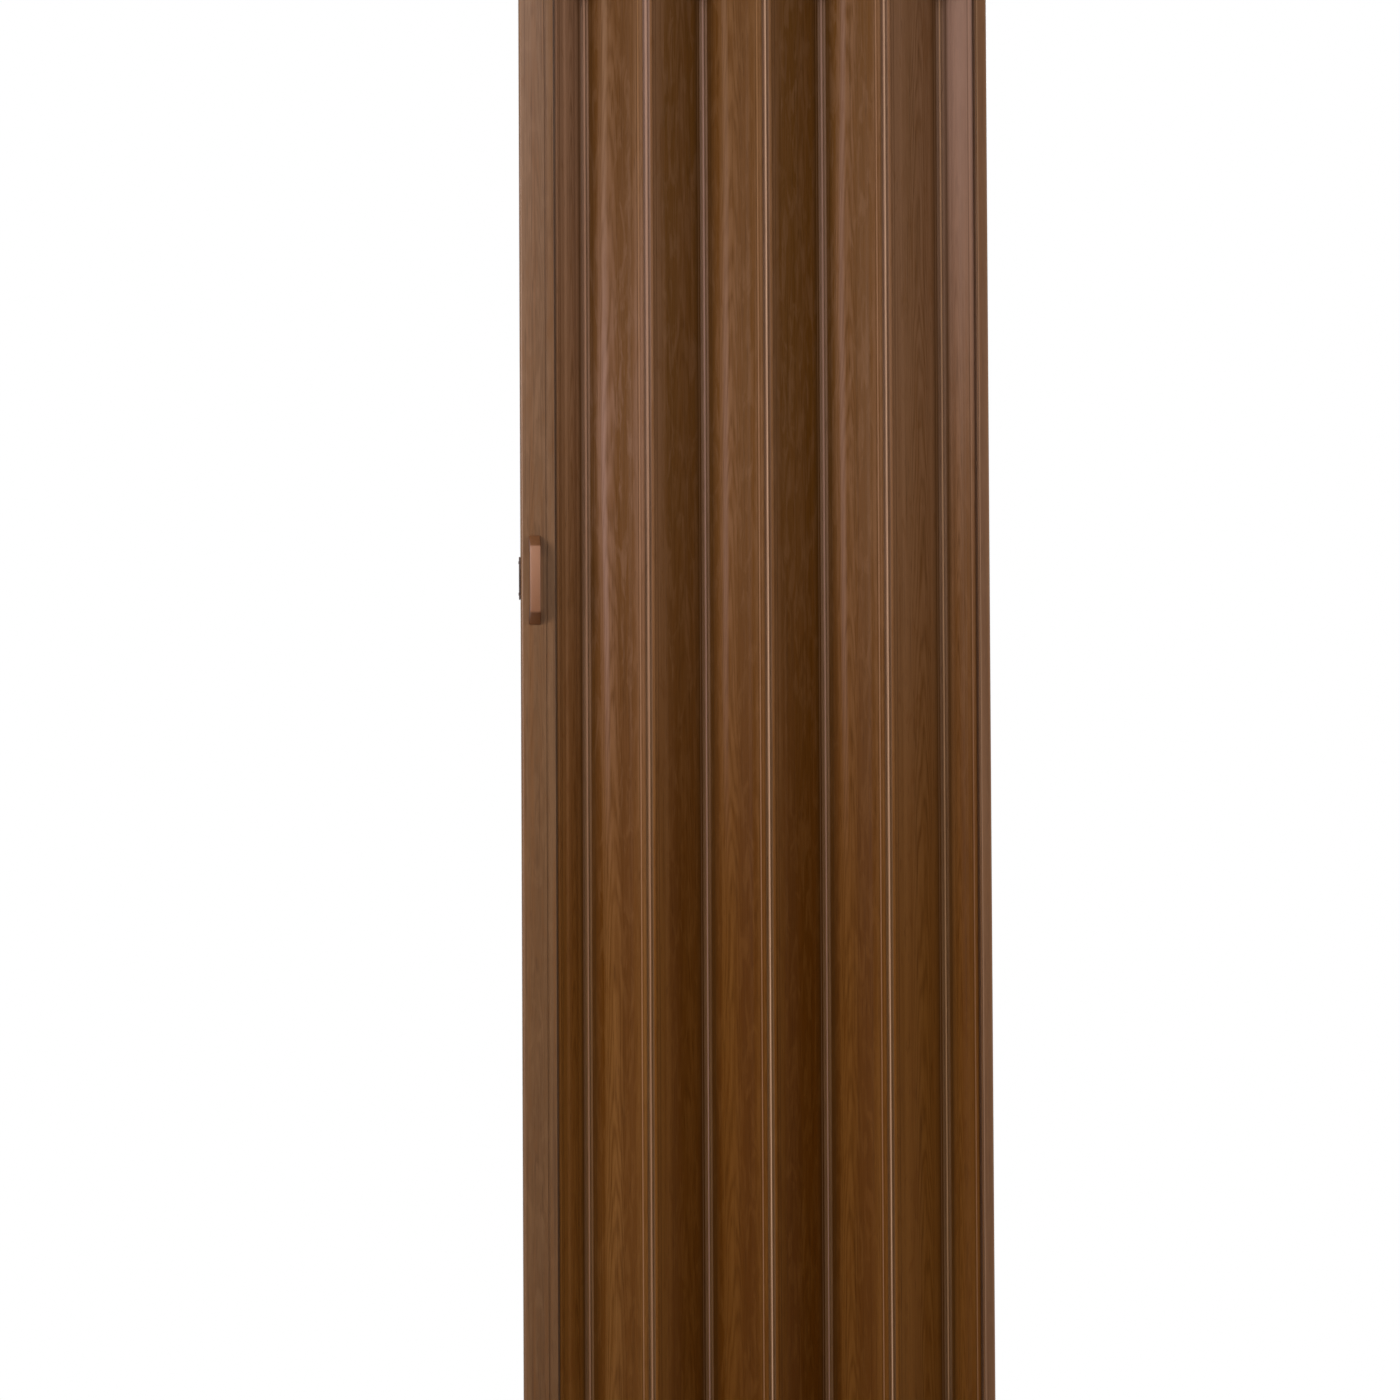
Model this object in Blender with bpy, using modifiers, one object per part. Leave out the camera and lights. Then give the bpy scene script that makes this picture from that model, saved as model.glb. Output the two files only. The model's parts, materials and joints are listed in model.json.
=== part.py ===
"""Accordion folding door for an 820 mm doorway: slats, hinge strips, lead post, track and rollers.

Units are metres and +Z is up. The origin is the centre of the track's top face, under the lintel.
The wall channel is at +X, the lead post with its pull closes towards -X, and -Y is the room side.
All that folds hangs in one chain of parents that starts at the wall, so changing fold_angle
folds the whole door.
"""

import math

import bmesh
import bpy
from mathutils import Matrix

# The doorway
opening_width = 0.820
lintel_height = 2.030
floor_gap = 0.008

# The fold: angle of each slat to the track at rest, fully closed and fully folded
fold_angle = 40.0
closed_angle = 5.0
stacked_angle = 82.0

# Clearances
seat_gap = 0.0003
track_to_slat_gap = 0.004
swing_margin = 28.0

# Top track
track_width = 0.034
track_height = 0.030
track_wall = 0.002
slot_width = 0.010
track_screw_radius = 0.0022
track_screw_head = 0.0044
track_screw_places = (-0.360, -0.130, 0.130, 0.360)

# Hinge strips
strip_pitch = 0.013
bead_radius = 0.0016
web_thickness = 0.001
spine_width = 0.005
spine_thickness = 0.0045
spine_corner = 0.0018

# Slats
slat_pitch = 0.092
socket_wall = 0.0013
neck_half = 0.0026
neck_length = 0.0008
margin_half = 0.0028
cushion_rise = 0.0009
cushion_crown = 0.0013
cove_dip = 0.0004
full_margin = 0.0125
full_cove = 0.011
half_margin = 0.008
half_cove = 0.006
half_rise = 0.0012
half_crown = 0.0004
slat_wall = 0.0012
hanger_chamber = 0.018
end_wall = 0.0022

# Lead post
post_width = 0.048
post_thickness = 0.017
post_wall = 0.0015
band_wall = 0.0018
post_corner = 0.004
post_edge = 0.0006
groove_from_edge = 0.035
groove_width = 0.003
groove_depth = 0.0012
edge_clearance = 0.004

# Pull handles
handle_length = 0.127
grip_length = 0.091
handle_width = 0.0165
handle_proud = 0.025
grip_thickness = 0.008
handle_foot = 0.015
handle_softness = 0.0012
handle_below_lintel = 0.856
handle_from_edge = 0.0195
handle_screw_radius = 0.0017
handle_screw_head = 0.0033
handle_screw_head_top = 0.0026
handle_screw_head_side = 0.0014
handle_screw_head_height = 0.0024
handle_screw_bite = 0.007
handle_screw_from_end = 0.0095
handle_screw_seat = 0.003

# Catch on the lead post's outer edge
catch_length = 0.060
catch_width = 0.010
catch_thickness = 0.0018
catch_rise = 0.003
catch_screw_spacing = 0.044
catch_screw_radius = 0.0013
catch_screw_head = 0.0024
catch_screw_head_top = 0.0017
catch_screw_head_side = 0.0009
catch_screw_head_height = 0.0013
catch_screw_length = 0.012
magnet_length = 0.026
magnet_width = 0.006
magnet_depth = 0.009

# Wall channel and the insert that clips into it
channel_depth = 0.030
channel_reach = 0.014
channel_wall = 0.0015
channel_chamfer = 0.0009
channel_lip = 0.0010
channel_lip_from_mouth = 0.0030
channel_screw_radius = 0.0022
channel_screw_heights = (0.250, 1.000, 1.800)
insert_plate = 0.0015
insert_leg = 0.0012
insert_leg_length = 0.0085
insert_barb = 0.0009

# Roller carriages
wheel_radius = 0.0055
wheel_width = 0.004
wheel_side_gap = 0.0005
hub_radius = 0.0030
hub_step = 0.0004
axle_radius = 0.0015
axle_overhang = 0.0008
carriage_half_width = 0.0042
carriage_half_length = 0.008
carriage_above_axle = 0.0035
stem_radius = 0.0022
stem_head_radius = 0.0031
stem_tip_radius = 0.0021
stem_head_height = 0.003

# Plugs in the tops of the slats and the lead post
plug_flange = 0.002
plug_leg_length = 0.020
plug_leg_width = 0.004
lead_flange = 0.003
lead_plug_depth = 0.024
lead_blade_half_thickness = 0.0024
lead_blade_half_length = 0.011
lead_blade_depth = 0.016
lead_carriage_half_length = 0.026
lead_axle_spacing = 0.034
cross_pin_radius = 0.0015
cross_pin_depth = 0.010
foot_cap_flange = 0.002
foot_cap_depth = 0.015

# How finely curves are drawn, and what counts as one point
bead_steps = 14
socket_outside_steps = 9
socket_inside_steps = 15
lip_steps = 2
cove_steps = 6
crown_steps = 8
corner_steps = 5
small_corner_steps = 4
hole_sides = 16
rod_sides = 20
smooth_angle = 35.0
soften_angle = 20.0
merge_distance = 0.000001

# Sizes that follow from those above
bead_seat_radius = bead_radius + seat_gap
socket_radius = bead_seat_radius + socket_wall
body_start = math.sqrt(socket_radius ** 2 - neck_half ** 2) + neck_length
slat_top = -track_height - track_to_slat_gap
slat_bottom = floor_gap - lintel_height
slat_length = slat_top - slat_bottom
slat_middle = (slat_top + slat_bottom) / 2
channel_top = -track_height - seat_gap
right_end = opening_width / 2
jamb_pivot = right_end - channel_reach - seat_gap - insert_plate - edge_clearance
lip_top = -track_height + track_wall
axle_height = lip_top + seat_gap + wheel_radius
wheel_inner = slot_width / 2 + wheel_side_gap
axle_bore_radius = axle_radius + seat_gap
post_half = post_thickness / 2
handle_post_x = -edge_clearance - post_width + handle_from_edge
handle_z = -handle_below_lintel - slat_middle
fold = math.radians(fold_angle)


# Scene

def clear_scene():
    for old in list(bpy.data.objects):
        bpy.data.objects.remove(old, do_unlink=True)


def new_collection(name):
    collection = bpy.data.collections.new(name)
    bpy.context.scene.collection.children.link(collection)
    return collection


clear_scene()
door = new_collection("folding_door")
cutters = new_collection("cutters")


def new_material(name, colour, roughness, metallic=0.0):
    material = bpy.data.materials.new(name)
    material.use_nodes = True
    shader = material.node_tree.nodes["Principled BSDF"]
    shader.inputs["Base Color"].default_value = (*colour, 1.0)
    shader.inputs["Roughness"].default_value = roughness
    shader.inputs["Metallic"].default_value = metallic
    material.diffuse_color = (*colour, 1.0)
    return material


wood_print = (0.127, 0.054, 0.019)
wood_print_pale = (0.168, 0.082, 0.042)
pull_brown = (0.262, 0.120, 0.062)
dark_brown = (0.045, 0.022, 0.014)
nylon_white = (0.78, 0.77, 0.72)
zinc = (0.62, 0.62, 0.60)
steel = (0.55, 0.55, 0.56)
ferrite = (0.05, 0.05, 0.055)
print_roughness = 0.38
plastic_roughness = 0.45
metal_roughness = 0.3


# Building tools

def arc(centre, radius, start, end, steps):
    """Points on a circle from one angle to another, in degrees, both ends included."""
    points = []
    for step in range(steps + 1):
        angle = math.radians(start + (end - start) * step / steps)
        points.append((centre[0] + radius * math.cos(angle), centre[1] + radius * math.sin(angle)))
    return points


def circle(centre, radius, sides):
    """A closed ring of points."""
    return arc(centre, radius, 0, 360 - 360 / sides, sides - 1)


def mirrored(points):
    """The outline reflected in its own X axis, in reverse order."""
    return [(x, -y) for x, y in reversed(points)]


def mesh_object(name, mesh, collection, parent=None, location=(0, 0, 0), rotation=(0, 0, 0)):
    piece = bpy.data.objects.new(name, mesh)
    collection.objects.link(piece)
    piece.parent = parent
    piece.location = location
    piece.rotation_euler = rotation
    return piece


def extruded_mesh(name, loops, length):
    """A flat outline with holes, drawn as a 2D curve, extruded evenly to both sides and made a mesh."""
    curve = bpy.data.curves.new(name, "CURVE")
    curve.dimensions = "2D"
    curve.fill_mode = "BOTH"
    curve.extrude = length / 2
    for loop in loops:
        spline = curve.splines.new("POLY")
        spline.points.add(len(loop) - 1)
        for point, (x, y) in zip(spline.points, loop):
            point.co = (x, y, 0.0, 1.0)
        spline.use_cyclic_u = True
    drawing = bpy.data.objects.new(name, curve)
    bpy.context.scene.collection.objects.link(drawing)
    graph = bpy.context.evaluated_depsgraph_get()
    mesh = bpy.data.meshes.new_from_object(drawing.evaluated_get(graph))
    mesh.name = name
    bpy.data.objects.remove(drawing, do_unlink=True)
    bpy.data.curves.remove(curve)
    tidy = bmesh.new()
    tidy.from_mesh(mesh)
    bmesh.ops.remove_doubles(tidy, verts=tidy.verts, dist=merge_distance)
    bmesh.ops.recalc_face_normals(tidy, faces=tidy.faces)
    tidy.to_mesh(mesh)
    tidy.free()
    return mesh


def extruded_between(name, loops, low, high):
    """The same, with its lower end at one height and its upper end at another."""
    mesh = extruded_mesh(name, loops, high - low)
    mesh.transform(Matrix.Translation((0, 0, (low + high) / 2)))
    return mesh


def block_mesh(name, size, centre=(0, 0, 0)):
    block = bmesh.new()
    placed = Matrix.Translation(centre) @ Matrix.Diagonal((*size, 1.0))
    bmesh.ops.create_cube(block, size=1.0, matrix=placed)
    mesh = bpy.data.meshes.new(name)
    block.to_mesh(mesh)
    block.free()
    return mesh


def along_axis(centre, axis):
    """The placing that lays a shape's own Z along an axis through centre."""
    turns = {"X": Matrix.Rotation(math.pi / 2, 4, "Y"), "Y": Matrix.Rotation(-math.pi / 2, 4, "X")}
    return Matrix.Translation(centre) @ turns.get(axis, Matrix.Identity(4))


def rod_mesh(name, radius, length, centre, axis="Z", sides=rod_sides, end_radius=None):
    """A cylinder, or a cone where end_radius differs, about an axis through centre."""
    placed = along_axis(centre, axis)
    rod = bmesh.new()
    far_radius = radius if end_radius is None else end_radius
    bmesh.ops.create_cone(rod, cap_ends=True, segments=sides, radius1=radius, radius2=far_radius,
                          depth=length, matrix=placed)
    mesh = bpy.data.meshes.new(name)
    rod.to_mesh(mesh)
    rod.free()
    return mesh


def spun_mesh(name, profile, steps, placed=Matrix.Identity(4)):
    """A profile of (radius, height) points, listed from top to bottom, turned about Z and then placed."""
    spun = bmesh.new()
    corners = [spun.verts.new((radius, 0, height)) for radius, height in profile]
    edges = [spun.edges.new(pair) for pair in zip(corners, corners[1:])]
    bmesh.ops.spin(spun, geom=corners + edges, cent=(0, 0, 0), axis=(0, 0, 1), angle=2 * math.pi,
                   steps=steps, use_merge=True)
    bmesh.ops.remove_doubles(spun, verts=spun.verts, dist=merge_distance)
    bmesh.ops.recalc_face_normals(spun, faces=spun.faces)
    bmesh.ops.transform(spun, matrix=placed, verts=spun.verts)
    mesh = bpy.data.meshes.new(name)
    spun.to_mesh(mesh)
    spun.free()
    return mesh


def smooth_round(piece):
    piece.data.shade_smooth()
    piece.data.set_sharp_from_angle(angle=math.radians(smooth_angle))


def turned(name, profile, steps, parent, location, rotation=(0, 0, 0)):
    piece = mesh_object(name, spun_mesh(name, profile, steps), door, parent, location, rotation)
    smooth_round(piece)
    return piece


def combine(piece, shapes, operation):
    """Cuts helper shapes out of a piece, or joins them on, all at once. They lie in the piece's own space."""
    name = f"{piece.name}_{operation.lower()}_{len(piece.modifiers)}"
    together = bmesh.new()
    for shape in shapes:
        together.from_mesh(shape)
    mesh = bpy.data.meshes.new(name)
    together.to_mesh(mesh)
    together.free()
    helper = mesh_object(name, mesh, cutters, piece)
    helper.hide_render = True
    helper.display_type = "WIRE"
    modifier = piece.modifiers.new(operation.lower(), "BOOLEAN")
    modifier.operation = operation
    modifier.object = helper
    modifier.solver = "EXACT"


def cut(piece, *shapes):
    combine(piece, shapes, "DIFFERENCE")


def join(piece, *shapes):
    combine(piece, shapes, "UNION")


def finish(piece, colour, roughness=plastic_roughness, metallic=0.0):
    piece.data.materials.append(new_material(piece.name, colour, roughness, metallic))
    return piece


# Outlines of the hinge: the round bead on a web, and the socket it turns in

def bead_outline():
    """The bead at the origin, from the top of its web round to the bottom, for a web that leaves to -X."""
    web_angle = math.degrees(math.asin(web_thickness / 2 / bead_radius))
    return arc((0, 0), bead_radius, web_angle - 180, 180 - web_angle, bead_steps)


def socket_outline():
    """The open socket at the origin, for a slat that lies to -X and a web that swings on the +Y side."""
    neck_angle = math.degrees(math.asin(neck_half / socket_radius))
    upper_lip = stacked_angle + swing_margin
    lower_lip = 360 + closed_angle - swing_margin
    outline = arc((0, 0), socket_radius, 180 + neck_angle, lower_lip, socket_outside_steps)
    outline += arc((0, 0), bead_seat_radius, lower_lip, upper_lip, socket_inside_steps)
    outline += arc((0, 0), socket_radius, upper_lip, 180 - neck_angle, lip_steps)
    return outline


# Slats

def face_height(along, width, margin, cove, rise, crown):
    """Half the slat's thickness at a place across it: flat margin, shallow cove, low crowned cushion."""
    from_edge = min(along, width - along)
    if from_edge <= margin:
        return margin_half
    if from_edge < margin + cove:
        share = (from_edge - margin) / cove
        risen = rise * share * share * (3 - 2 * share)
        return margin_half + risen - cove_dip * math.sin(math.pi * share) * (1 - share)
    middle = width / 2 - margin - cove
    share = (from_edge - margin - cove) / middle
    return margin_half + rise + crown * math.sin(share * math.pi / 2)


def face_places(width, margin, cove):
    """Where a slat's face needs points, counted from one edge of its flat body."""
    places = [0.0]
    places += [margin + cove * step / cove_steps for step in range(cove_steps)]
    crown = width - 2 * (margin + cove)
    places += [margin + cove + crown * step / crown_steps for step in range(crown_steps + 1)]
    places += [width - margin - cove * (1 - step / cove_steps) for step in range(1, cove_steps + 1)]
    return places + [width]


def chamber_outline(start, end, places, height_at):
    """One hollow of a slat between two ribs, a wall's thickness under both faces."""
    inside = [start] + [place for place in places if start < place < end] + [end]
    top = [(place, height_at(place) - slat_wall) for place in inside]
    return top + mirrored(top)


def slat_loops(pitch, margin, cove, rise, crown, rib_places):
    """A slat's cross-section with its first pivot at the origin and its second at -pitch."""
    width = pitch - 2 * body_start
    places = face_places(width, margin, cove)

    def height_at(place):
        return face_height(place, width, margin, cove, rise, crown)

    half = socket_outline()
    half.append((-body_start, neck_half))
    half += [(-body_start - place, height_at(place)) for place in places]
    half.append((-body_start - width, neck_half))
    outline = half + [(-pitch - x, -y) for x, y in half]
    outline = [point for index, point in enumerate(outline) if point != outline[index - 1]]
    loops = [outline]
    for start, end in zip(rib_places[:-1], rib_places[1:]):
        hollow = chamber_outline(start + slat_wall / 2, end - slat_wall / 2, places, height_at)
        loops.append([(-body_start - x, y) for x, y in hollow])
    return loops


def full_slat_loops():
    width = slat_pitch - 2 * body_start
    middle = width / 2
    ribs = [end_wall, full_margin, middle - hanger_chamber / 2, middle + hanger_chamber / 2,
            width - full_margin, width - end_wall]
    return slat_loops(slat_pitch, full_margin, full_cove, cushion_rise, cushion_crown, ribs)


def hanger_chamber_half():
    """Half the clear thickness of a full slat's middle chamber, at the chamber's own ribs."""
    width = slat_pitch - 2 * body_start
    rib = width / 2 - hanger_chamber / 2
    return face_height(rib, width, full_margin, full_cove, cushion_rise, cushion_crown) - slat_wall


def half_slat_loops():
    width = slat_pitch / 2 - 2 * body_start
    ribs = [end_wall, width / 2, width - end_wall]
    return slat_loops(slat_pitch / 2, half_margin, half_cove, half_rise, half_crown, ribs)


def slat(name, loops, side, parent, location, turn):
    """One slat. side is +1 where the webs swing towards its +Y face and -1 where they swing to -Y."""
    flipped = [[(x, side * y) for x, y in loop] for loop in loops]
    mesh = extruded_mesh(name, flipped, slat_length)
    return finish(mesh_object(name, mesh, door, parent, location, (0, 0, turn)), wood_print,
                  print_roughness)


# Hinge strips

def strip_loop():
    """Two beads on webs with a rounded spine between them. The first pivot is at the origin."""
    spine_start = (strip_pitch - spine_width) / 2
    half_thickness = spine_thickness / 2
    corner_x = -spine_start - spine_corner
    corner_y = half_thickness - spine_corner
    near = bead_outline()
    near.append((-spine_start, web_thickness / 2))
    near += arc((corner_x, corner_y), spine_corner, 0, 90, small_corner_steps)
    far_half = [(-strip_pitch - x, y) for x, y in reversed(near)]
    upper = near + far_half
    lower_corner = [(-spine_start, -web_thickness / 2)]
    lower_near = arc((corner_x, -corner_y), spine_corner, -90, 0, small_corner_steps) + lower_corner
    lower_far = [(-strip_pitch - x, y) for x, y in reversed(lower_near)]
    return upper + lower_far + lower_near


def hinge_strip(number, parent, location, turn):
    name = f"hinge_strip_{number}"
    mesh = extruded_mesh(name, [strip_loop()], slat_length)
    return finish(mesh_object(name, mesh, door, parent, location, (0, 0, turn)), wood_print_pale,
                  print_roughness)


# Lead post

def post_loops():
    """The lead post's cross-section, its pivot at the origin, with the same groove on both faces."""
    left = -edge_clearance - post_width
    right = -edge_clearance
    groove_start = left + groove_from_edge
    groove_end = groove_start + groove_width
    groove_floor = post_half - groove_depth
    outline = bead_outline()
    outline.append((right, web_thickness / 2))
    outline += arc((right - post_edge, post_half - post_edge), post_edge, 0, 90, lip_steps)
    outline += [(groove_end, post_half), (groove_end - groove_depth / 2, groove_floor)]
    outline += [(groove_start + groove_depth / 2, groove_floor), (groove_start, post_half)]
    outline += arc((left + post_corner, post_half - post_corner), post_corner, 90, 180, corner_steps)
    upper = outline[len(bead_outline()):]
    outline += mirrored(upper)
    return [outline, post_chamber(), post_small_chamber()]


def post_chamber_span():
    """The near and far sides of the lead post's large chamber, which takes the plug and the foot cap."""
    left = -edge_clearance - post_width
    return left + post_wall, left + groove_from_edge - post_wall


def post_chamber():
    low, high = post_chamber_span()
    half = post_half - post_wall
    corner = post_corner - post_wall
    upper = [(high, half)]
    upper += arc((low + corner, half - corner), corner, 90, 180, small_corner_steps)
    return upper + mirrored(upper)


def post_small_chamber():
    left = -edge_clearance - post_width
    low = left + groove_from_edge + groove_width + post_wall
    high = -edge_clearance - post_wall
    half = post_half - band_wall
    return [(high, half), (low, half), (low, -half), (high, -half)]


def lead_post(parent, location, turn):
    mesh = extruded_mesh("lead_post", post_loops(), slat_length)
    post = mesh_object("lead_post", mesh, door, parent, location, (0, 0, turn))
    edge = -edge_clearance - post_width
    through = 2 * post_thickness
    inwards = 4 * post_wall
    window = (inwards, magnet_width + 2 * seat_gap, magnet_length + 2 * seat_gap)
    openings = [block_mesh("magnet_window", window, (edge, 0, handle_z + catch_rise))]
    for screw_z in handle_screw_heights():
        openings.append(rod_mesh("handle_hole", handle_screw_radius + seat_gap, through,
                                 (handle_post_x, 0, screw_z), "Y"))
    for screw_z in catch_screw_heights():
        openings.append(rod_mesh("catch_hole", catch_screw_radius + seat_gap, inwards,
                                 (edge, 0, screw_z), "X", hole_sides))
    cut(post, *openings)
    return finish(post, wood_print_pale, print_roughness)


# Pull handles, one on each face of the lead post, held by the same two screws

def handle_screw_heights():
    reach = handle_length / 2 - handle_screw_from_end
    return handle_z + reach, handle_z - reach


def handle_outline():
    """The pull seen from its side: X is the distance out of the post's face, Y is the height."""
    half = handle_length / 2
    half_grip = grip_length / 2
    slope = (half - half_grip) / handle_proud
    inner_reach = handle_proud - grip_thickness
    inner_half = half - handle_foot
    upper = [(seat_gap, half), (handle_proud, half_grip)]
    inner = [(inner_reach, inner_half - slope * inner_reach), (seat_gap, inner_half)]
    return upper + mirrored(upper) + mirrored(inner) + inner


def pull_handle(name, post, side):
    """side is -1 for the front face, where the room is, and +1 for the rear face."""
    mesh = extruded_mesh(name, [handle_outline()], handle_width)
    place = (handle_post_x, side * post_half, handle_z)
    turn = (math.pi / 2, 0, side * math.pi / 2)
    pull = mesh_object(name, mesh, door, post, place, turn)
    soften = pull.modifiers.new("soften", "BEVEL")
    soften.width = handle_softness
    soften.segments = 2
    soften.limit_method = "ANGLE"
    soften.angle_limit = math.radians(soften_angle)
    return pull


def front_handle(post):
    """The front pull's feet have blind holes that the through screws bite into."""
    pull = pull_handle("front_handle", post, -1)
    bite = handle_screw_bite + 2 * seat_gap
    holes = [rod_mesh("blind_hole", handle_screw_radius + seat_gap, 2 * bite,
                      (0, screw_z - handle_z, 0), "X", hole_sides)
             for screw_z in handle_screw_heights()]
    cut(pull, *holes)
    return finish(pull, pull_brown)


def rear_handle(post):
    """The rear pull's feet have counterbored holes for the screw heads."""
    pull = pull_handle("rear_handle", post, 1)
    bore = handle_screw_radius + seat_gap
    head_room = handle_screw_head + seat_gap
    profile = [(0, 2 * handle_proud), (head_room, 2 * handle_proud), (head_room, handle_screw_seat),
               (bore, handle_screw_seat), (bore, -handle_screw_seat), (0, -handle_screw_seat)]
    holes = [spun_mesh("screw_hole", profile, hole_sides, along_axis((0, screw_z - handle_z, 0), "X"))
             for screw_z in handle_screw_heights()]
    cut(pull, *holes)
    return finish(pull, pull_brown)


def handle_screws(post):
    """Pan-head screws from the rear pull, through the post, into the front pull."""
    head_seat = seat_gap + handle_screw_seat + seat_gap
    reach = head_seat + post_thickness + handle_screw_bite
    profile = [(0, handle_screw_head_height), (handle_screw_head_top, handle_screw_head_height),
               (handle_screw_head, handle_screw_head_side), (handle_screw_head, 0),
               (handle_screw_radius, 0), (handle_screw_radius, -reach + handle_screw_radius),
               (0, -reach)]
    for name, screw_z in zip(("upper", "lower"), handle_screw_heights()):
        place = (handle_post_x, post_half + head_seat, screw_z)
        screw = turned(f"handle_screw_{name}", profile, hole_sides, post, place,
                       (-math.pi / 2, 0, 0))
        finish(screw, zinc, metal_roughness, 1.0)


# Catch on the outer edge of the lead post

def catch_screw_heights():
    middle = handle_z + catch_rise
    return middle + catch_screw_spacing / 2, middle - catch_screw_spacing / 2


def catch_plate(post):
    """A thin plate with round ends, a window for the magnet and two screw holes."""
    straight = (catch_length - catch_width) / 2
    half_turn_steps = hole_sides // 2
    outline = arc((0, straight), catch_width / 2, 0, 180, half_turn_steps)
    outline += arc((0, -straight), catch_width / 2, 180, 360, half_turn_steps)
    half_width = magnet_width / 2 + seat_gap
    half_length = magnet_length / 2 + seat_gap
    window = [(half_width, half_length), (-half_width, half_length), (-half_width, -half_length),
              (half_width, -half_length)]
    holes = [circle((0, side * catch_screw_spacing / 2), catch_screw_radius + seat_gap, hole_sides)
             for side in (-1, 1)]
    mesh = extruded_mesh("catch_plate", [outline, window] + holes, catch_thickness)
    edge = -edge_clearance - post_width
    place = (edge - seat_gap - catch_thickness / 2, 0, handle_z + catch_rise)
    plate = mesh_object("catch_plate", mesh, door, post, place, (math.pi / 2, 0, -math.pi / 2))
    finish(plate, dark_brown)


def catch_magnet(post):
    """The block magnet, flush with the plate and reaching through the post's edge wall."""
    edge = -edge_clearance - post_width
    centre = (edge - seat_gap - catch_thickness + magnet_depth / 2, 0, handle_z + catch_rise)
    mesh = block_mesh("catch_magnet", (magnet_depth, magnet_width, magnet_length))
    magnet = mesh_object("catch_magnet", mesh, door, post, centre)
    finish(magnet, ferrite)


def catch_screws(post):
    profile = [(0, catch_screw_head_height), (catch_screw_head_top, catch_screw_head_side),
               (catch_screw_head, 0), (catch_screw_radius, 0),
               (catch_screw_radius, -catch_screw_length + catch_screw_radius), (0, -catch_screw_length)]
    edge = -edge_clearance - post_width
    for name, screw_z in zip(("upper", "lower"), catch_screw_heights()):
        place = (edge - catch_thickness - 2 * seat_gap, 0, screw_z)
        screw = turned(f"catch_screw_{name}", profile, hole_sides, post, place,
                       (0, -math.pi / 2, 0))
        finish(screw, zinc, metal_roughness, 1.0)


# Top track

def top_track():
    """A C channel with its slot below and countersunk holes in its web."""
    half_width = track_width / 2
    inner_half = half_width - track_wall
    half_slot = slot_width / 2
    upper = [(half_width, -track_height), (half_width, 0)]
    inner = [(half_slot, -track_height), (half_slot, lip_top), (inner_half, lip_top),
             (inner_half, -track_wall)]
    outline = upper + [(-x, y) for x, y in reversed(upper)]
    outline += [(-x, y) for x, y in inner] + inner[::-1]
    mesh = extruded_mesh("top_track", [outline], opening_width)
    track = mesh_object("top_track", mesh, door, None, (0, 0, 0), (math.pi / 2, 0, math.pi / 2))
    sink_start = -track_wall + track_screw_head - track_screw_radius
    profile = [(0, track_wall), (track_screw_radius, track_wall), (track_screw_radius, sink_start),
               (track_screw_head + track_wall, -2 * track_wall), (0, -2 * track_wall)]
    holes = [spun_mesh("countersunk_hole", profile, hole_sides, along_axis((0, 0, place), "Y"))
             for place in track_screw_places]
    cut(track, *holes)
    return finish(track, wood_print_pale, print_roughness)


# Wall channel and jamb insert

def wall_channel():
    """The channel screwed to the wall, open towards the doorway, with a lip inside each flange."""
    half = channel_depth / 2
    inner = half - channel_wall
    mouth = right_end - channel_reach
    lip_start = mouth + channel_lip_from_mouth
    lip_end = lip_start + channel_lip
    web = right_end - channel_wall
    upper = [(right_end, half - channel_chamfer), (right_end - channel_chamfer, half), (mouth, half),
             (mouth, inner)]
    upper += [(lip_start, inner - channel_lip), (lip_end, inner - channel_lip), (lip_end, inner),
              (web, inner)]
    mesh = extruded_mesh("wall_channel", [upper + mirrored(upper)], channel_top - slat_bottom)
    middle = (channel_top + slat_bottom) / 2
    channel = mesh_object("wall_channel", mesh, door, None, (0, 0, middle))
    holes = [rod_mesh("hole", channel_screw_radius, 4 * channel_wall, (web, 0, -height - middle), "X",
                      hole_sides)
             for height in channel_screw_heights]
    cut(channel, *holes)
    return finish(channel, wood_print_pale, print_roughness)


def jamb_insert():
    """The strip that clips into the wall channel and carries the bead of the first half slat."""
    half = channel_depth / 2
    plate_end = edge_clearance + insert_plate
    leg_outer = half - channel_wall - channel_lip - seat_gap
    leg_inner = leg_outer - insert_leg
    leg_end = plate_end + insert_leg_length
    lip_far = edge_clearance + insert_plate + seat_gap + channel_lip_from_mouth + channel_lip
    barb_start = lip_far + seat_gap
    barb_outer = leg_outer + insert_barb
    bead = [(-x, y) for x, y in bead_outline()]
    upper = [(edge_clearance, web_thickness / 2), (edge_clearance, half), (plate_end, half),
             (plate_end, leg_outer), (barb_start, leg_outer), (barb_start, barb_outer),
             (leg_end, leg_outer), (leg_end, leg_inner), (plate_end, leg_inner)]
    outline = bead + upper + mirrored(upper)
    mesh = extruded_mesh("jamb_insert", [outline], slat_length)
    insert = mesh_object("jamb_insert", mesh, door, None, (jamb_pivot, 0, slat_middle))
    return finish(insert, wood_print_pale, print_roughness)


# Rollers

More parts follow.
